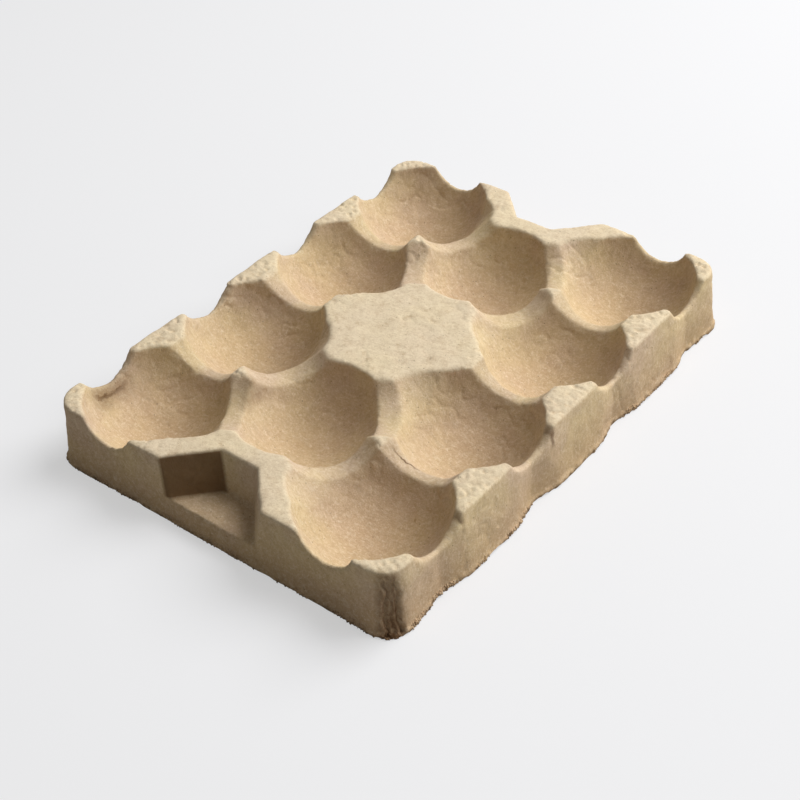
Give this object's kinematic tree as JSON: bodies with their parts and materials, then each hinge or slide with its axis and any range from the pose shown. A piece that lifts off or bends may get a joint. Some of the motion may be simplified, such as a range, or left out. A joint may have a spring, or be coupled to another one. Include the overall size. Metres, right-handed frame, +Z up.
{
  "type": "pulp fruit tray",
  "caption": "Moulded pulp tray that holds large fruit apart in round pockets, with a flat platform in the middle and a notch in each short side.",
  "frame": {"origin": "on the ground, under the middle of the tray", "axes": "+X along the tray, +Y across it, +Z up out of the pockets"},
  "size_m": [0.384, 0.2894, 0.049],
  "materials": {
    "pulp": "matte"
  },
  "bodies": {
    "root": {"tray": "pulp"}
  },
  "joints": []
}
